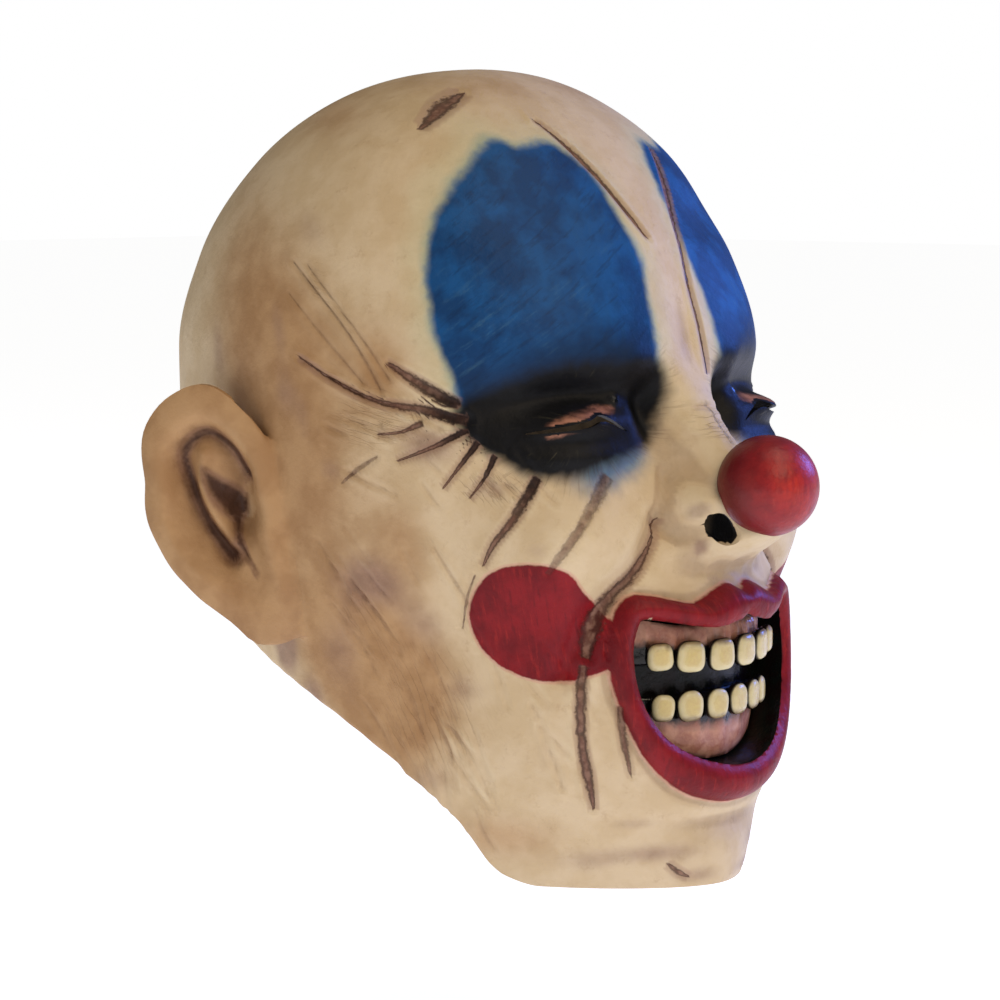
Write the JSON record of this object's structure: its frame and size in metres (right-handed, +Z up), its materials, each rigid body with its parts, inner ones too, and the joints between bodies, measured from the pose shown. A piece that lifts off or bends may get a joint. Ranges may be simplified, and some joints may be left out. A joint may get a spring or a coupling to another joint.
{
  "type": "clown mask",
  "caption": "Full-head latex clown mask with a wide toothed grin, narrow eye slits, large ears, a ball nose and an open neck edge.",
  "frame": {"origin": "inside top of the head, where the wearer's crown carries the mask", "axes": "+Z up, the face looks along -Y, the mask's own right ear is on the -X side; the mask is symmetric across the plane X = 0"},
  "size_m": [0.2248, 0.2476, 0.2602],
  "materials": {
    "painted_latex": "hand-painted satin latex",
    "red_latex": "semi-gloss painted latex",
    "gum": "glossy painted latex",
    "teeth": "glossy varnished"
  },
  "bodies": {
    "root": {"mask_skin": "painted_latex", "nose_ball": "red_latex", "upper_gum": "gum", "lower_gum": "gum", "upper_tooth_1": "teeth", "upper_tooth_2": "teeth", "upper_tooth_3": "teeth", "upper_tooth_4": "teeth", "upper_tooth_5": "teeth", "upper_tooth_6": "teeth", "lower_tooth_1": "teeth", "lower_tooth_2": "teeth", "lower_tooth_3": "teeth", "lower_tooth_4": "teeth", "lower_tooth_5": "teeth", "lower_tooth_6": "teeth"}
  },
  "joints": []
}
